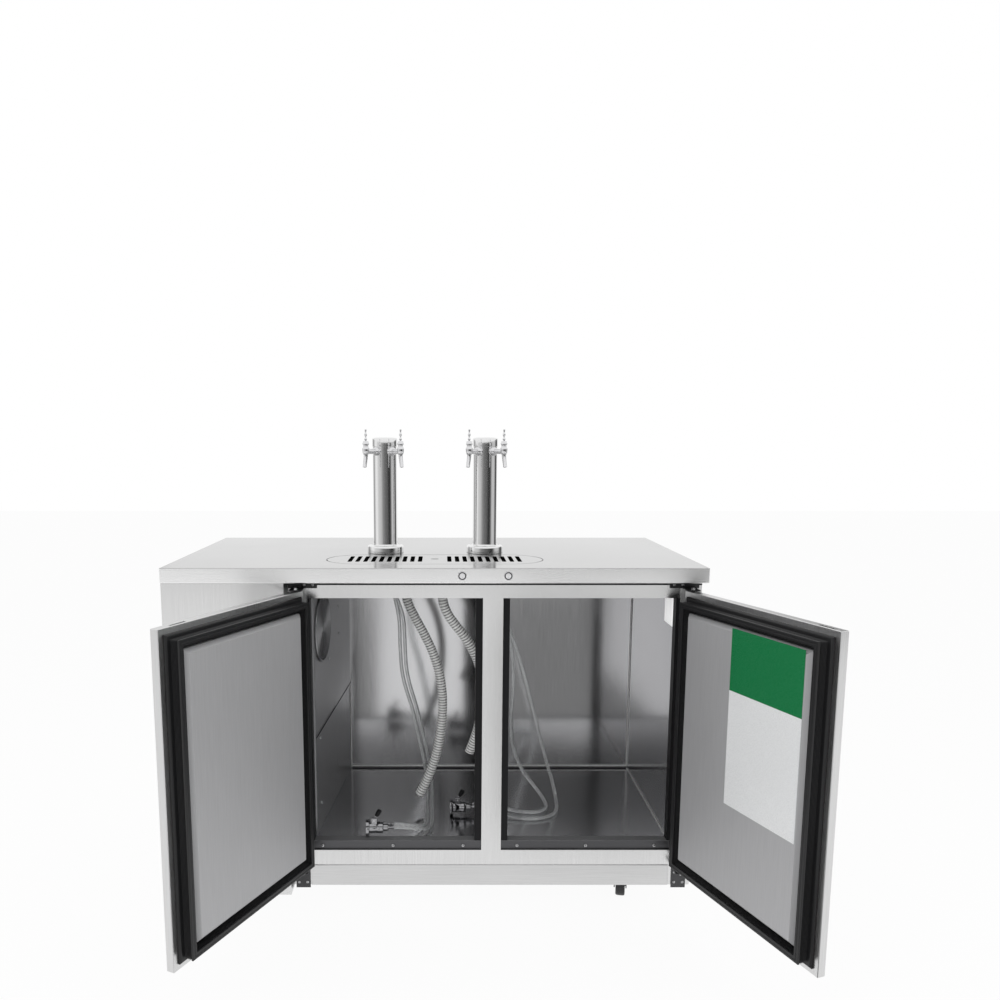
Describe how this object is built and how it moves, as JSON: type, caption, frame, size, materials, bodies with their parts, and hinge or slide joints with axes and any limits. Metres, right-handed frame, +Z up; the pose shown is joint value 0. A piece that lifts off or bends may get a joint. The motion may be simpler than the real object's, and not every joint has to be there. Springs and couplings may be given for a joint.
{
  "type": "kegerator",
  "caption": "Back-bar beer cooler with hinged doors, a machine bay, casters, and tap towers over an oblong drip tray in a steel worktop.",
  "frame": {"origin": "middle of the cabinet's underside, where the casters are fastened", "axes": "+X to the right as seen from the front, +Y to the back, +Z up"},
  "size_m": [1.6237, 1.2344, 1.3936],
  "materials": {
    "brushed_steel": "satin brushed",
    "liner_steel": "satin",
    "chrome": "polished",
    "black_trim": "satin",
    "gasket_rubber": "matt",
    "black_metal": "satin",
    "hose_plastic": "satin",
    "clear_vinyl": "gloss",
    "white_plastic": "satin",
    "coil_metal": "fine fins",
    "wheel_tyre": "matt"
  },
  "bodies": {
    "cabinet": {"worktop": "brushed_steel", "insulated_casing": "brushed_steel", "inner_liner": "liner_steel", "face_frame": "brushed_steel", "breaker_frame": "black_trim", "kick_panel": "brushed_steel", "machine_housing": "brushed_steel", "machine_front_panel": "brushed_steel", "evaporator_cover": "liner_steel", "fan_guard": "black_metal", "evaporator_coil": "coil_metal", "compressor": "black_metal", "condenser": "coil_metal", "lamp_housing": "white_plastic", "drip_tray": "brushed_steel", "tower_column_left": "brushed_steel", "tower_column_right": "brushed_steel", "tower_cap_left": "chrome", "tower_cap_right": "chrome", "faucet_left_inner": "chrome", "faucet_left_outer": "chrome", "faucet_right_inner": "chrome", "faucet_right_outer": "chrome", "hinge_top_left": "black_metal", "hinge_top_right": "black_metal", "hinge_bottom_left": "black_metal", "hinge_bottom_right": "black_metal", "air_hose": "hose_plastic", "drain_hose": "hose_plastic", "beer_line_left_1": "clear_vinyl", "beer_line_left_2": "clear_vinyl", "beer_line_right_1": "clear_vinyl", "beer_line_right_2": "clear_vinyl", "keg_coupler_1": "chrome", "keg_coupler_2": "chrome"},
    "door_left": {"door_pan_left": "brushed_steel", "door_gasket_left": "gasket_rubber", "door_panel_left": "liner_steel"},
    "door_right": {"door_pan_right": "brushed_steel", "door_gasket_right": "gasket_rubber", "door_panel_right": "liner_steel"},
    "lever_left_outer": {"faucet_lever_left_outer": "chrome"},
    "lever_left_inner": {"faucet_lever_left_inner": "chrome"},
    "lever_right_inner": {"faucet_lever_right_inner": "chrome"},
    "lever_right_outer": {"faucet_lever_right_outer": "chrome"},
    "lock_left": {"lock_left": "chrome"},
    "lock_right": {"lock_right": "chrome"},
    "caster_front_left": {"caster_fork_front_left": "black_metal"},
    "wheel_front_left": {"caster_wheel_front_left": "wheel_tyre"},
    "caster_front_right": {"caster_fork_front_right": "black_metal"},
    "wheel_front_right": {"caster_wheel_front_right": "wheel_tyre"},
    "caster_rear_left": {"caster_fork_rear_left": "black_metal"},
    "wheel_rear_left": {"caster_wheel_rear_left": "wheel_tyre"},
    "caster_rear_right": {"caster_fork_rear_right": "black_metal"},
    "wheel_rear_right": {"caster_wheel_rear_right": "wheel_tyre"},
    "grate": {"drip_grate": "brushed_steel"},
    "evaporator_fan": {"evaporator_fan": "black_trim"},
    "condenser_fan": {"condenser_fan": "black_trim"},
    "coupler_handle_1": {"coupler_lever_1": "black_trim"},
    "coupler_handle_2": {"coupler_lever_2": "black_trim"}
  },
  "joints": [
    {"name": "door_left_hinge", "type": "hinge", "parent": "cabinet", "child": "door_left", "pos_m": [-0.374, -0.3365, 0.464], "axis": [0, 0, -1], "range_deg": [-115.2, 9.8]},
    {"name": "door_right_hinge", "type": "hinge", "parent": "cabinet", "child": "door_right", "pos_m": [0.696, -0.3365, 0.464], "axis": [0, 0, 1], "range_deg": [-109.9, 15.1]},
    {"name": "lever_left_outer_pull", "type": "hinge", "parent": "cabinet", "child": "lever_left_outer", "pos_m": [-0.2005, -0.0905, 1.2625], "axis": [0.8329, -0.5534, 0], "range_deg": [0, 30]},
    {"name": "lever_left_inner_pull", "type": "hinge", "parent": "cabinet", "child": "lever_left_inner", "pos_m": [-0.0995, -0.0905, 1.2625], "axis": [0.8329, 0.5534, 0], "range_deg": [0, 30]},
    {"name": "lever_right_inner_pull", "type": "hinge", "parent": "cabinet", "child": "lever_right_inner", "pos_m": [0.0995, -0.0905, 1.2625], "axis": [0.8329, -0.5534, 0], "range_deg": [0, 30]},
    {"name": "lever_right_outer_pull", "type": "hinge", "parent": "cabinet", "child": "lever_right_outer", "pos_m": [0.2005, -0.0905, 1.2625], "axis": [0.8329, 0.5534, 0], "range_deg": [0, 30]},
    {"name": "lock_left_turn", "type": "hinge", "parent": "cabinet", "child": "lock_left", "pos_m": [0.074, -0.3545, 0.91125], "axis": [0, 1, 0], "range_deg": [0, 90]},
    {"name": "lock_right_turn", "type": "hinge", "parent": "cabinet", "child": "lock_right", "pos_m": [0.197, -0.3545, 0.91125], "axis": [0, 1, 0], "range_deg": [0, 90]},
    {"name": "caster_front_left_swivel", "type": "hinge", "parent": "cabinet", "child": "caster_front_left", "pos_m": [-0.557, -0.1925, -0.034], "axis": [0, 0, 1], "continuous": true},
    {"name": "wheel_front_left_roll", "type": "hinge", "parent": "caster_front_left", "child": "wheel_front_left", "pos_m": [-0.56384, -0.17371, -0.062], "axis": [-0.9397, -0.342, 0], "continuous": true},
    {"name": "caster_front_right_swivel", "type": "hinge", "parent": "cabinet", "child": "caster_front_right", "pos_m": [0.557, -0.1925, -0.034], "axis": [0, 0, 1], "continuous": true},
    {"name": "wheel_front_right_roll", "type": "hinge", "parent": "caster_front_right", "child": "wheel_front_right", "pos_m": [0.56116, -0.17294, -0.062], "axis": [-0.9781, 0.2079, 0], "continuous": true},
    {"name": "caster_rear_left_swivel", "type": "hinge", "parent": "cabinet", "child": "caster_rear_left", "pos_m": [-0.557, 0.2505, -0.034], "axis": [0, 0, 1], "continuous": true},
    {"name": "wheel_rear_left_roll", "type": "hinge", "parent": "caster_rear_left", "child": "wheel_rear_left", "pos_m": [-0.55182, 0.26982, -0.062], "axis": [-0.9659, 0.2588, 0], "continuous": true},
    {"name": "caster_rear_right_swivel", "type": "hinge", "parent": "cabinet", "child": "caster_rear_right", "pos_m": [0.557, 0.2505, -0.034], "axis": [0, 0, 1], "continuous": true},
    {"name": "wheel_rear_right_roll", "type": "hinge", "parent": "caster_rear_right", "child": "wheel_rear_right", "pos_m": [0.55353, 0.2702, -0.062], "axis": [-0.9848, -0.1736, 0], "continuous": true},
    {"name": "grate_lift", "type": "slide", "parent": "cabinet", "child": "grate", "axis": [0, 0, 1], "range_m": [0, 0.1]},
    {"name": "evaporator_fan_spin", "type": "hinge", "parent": "cabinet", "child": "evaporator_fan", "pos_m": [-0.3451, -0.1395, 0.726], "axis": [1, 0, 0], "continuous": true},
    {"name": "condenser_fan_spin", "type": "hinge", "parent": "cabinet", "child": "condenser_fan", "pos_m": [-0.5685, -0.2495, 0.1593], "axis": [0, 1, 0], "continuous": true},
    {"name": "coupler_1_handle", "type": "hinge", "parent": "cabinet", "child": "coupler_handle_1", "pos_m": [-0.176, -0.2505, 0.1798], "axis": [0, -1, 0], "range_deg": [0, 80]},
    {"name": "coupler_2_handle", "type": "hinge", "parent": "cabinet", "child": "coupler_handle_2", "pos_m": [0.069, -0.1035, 0.1798], "axis": [0, -1, 0], "range_deg": [0, 80]}
  ]
}
